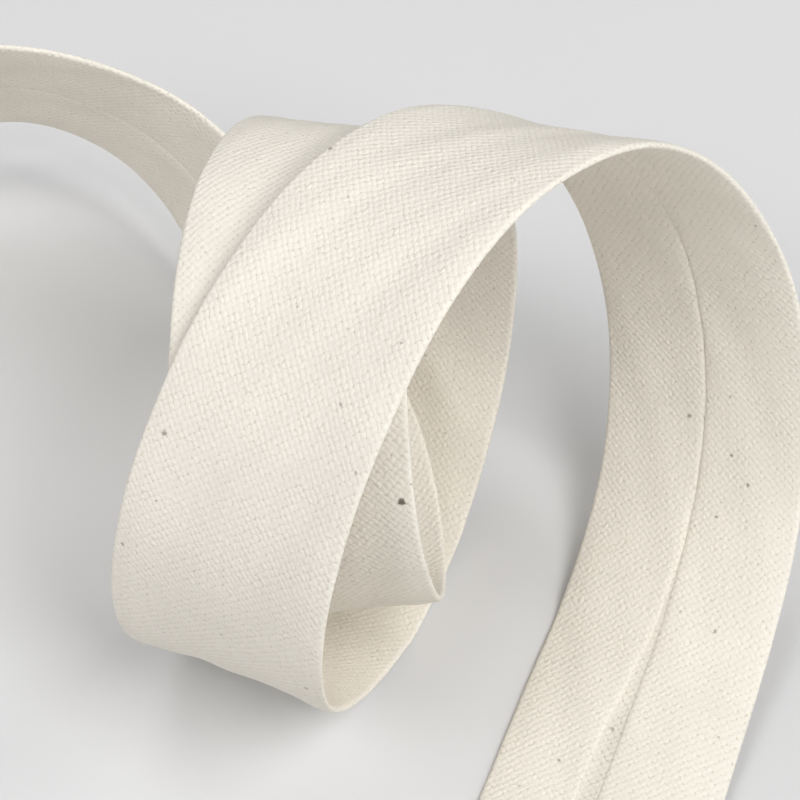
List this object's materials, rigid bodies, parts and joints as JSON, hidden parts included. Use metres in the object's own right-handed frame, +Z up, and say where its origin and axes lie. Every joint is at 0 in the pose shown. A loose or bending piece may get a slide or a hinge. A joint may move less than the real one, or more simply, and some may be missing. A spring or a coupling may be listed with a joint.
{
  "type": "bias binding tape",
  "caption": "Cut length of single-fold bias binding in unbleached cotton, lying in loose loops with a standing arch and both ends flat on the surface.",
  "frame": {"origin": "centre of the bounding box at its bottom, on the surface that the tape lies on", "axes": "+Z up from the surface, +X along the longest extent, from the standing arch to the first loop, -Y towards the near cut end"},
  "size_m": [0.1431, 0.1074, 0.0533],
  "materials": {
    "cotton": "matt unbleached plain-weave cotton with scattered dark seed flecks"
  },
  "bodies": {
    "root": {"binding": "cotton"}
  },
  "joints": []
}
